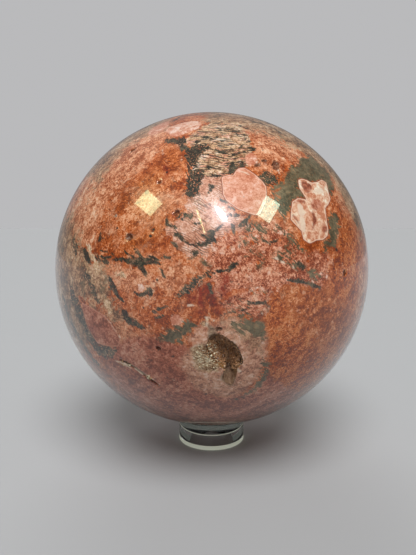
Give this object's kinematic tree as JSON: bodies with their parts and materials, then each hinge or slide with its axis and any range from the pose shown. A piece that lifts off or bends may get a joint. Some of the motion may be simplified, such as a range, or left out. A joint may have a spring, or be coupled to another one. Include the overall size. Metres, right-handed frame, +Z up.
{
  "type": "calcite sphere",
  "caption": "Large polished sphere of mottled orange and pink calcite with a small crystal-lined hollow, resting on a clear ring stand.",
  "frame": {"origin": "centre of the ring stand's underside", "axes": "+Z up through the sphere's centre, the crystal-lined hollow faces -Y, +X to the right seen from the front"},
  "size_m": [0.127, 0.127, 0.137],
  "materials": {
    "polished_calcite": "polished, mottled orange, salmon, tan and grey-green",
    "crystal_crust": "glossy brown-olive crystals",
    "clear_acrylic": "clear, polished"
  },
  "bodies": {
    "root": {"calcite_sphere": "polished_calcite", "vug_crystals": "crystal_crust", "ring_stand": "clear_acrylic"}
  },
  "joints": []
}
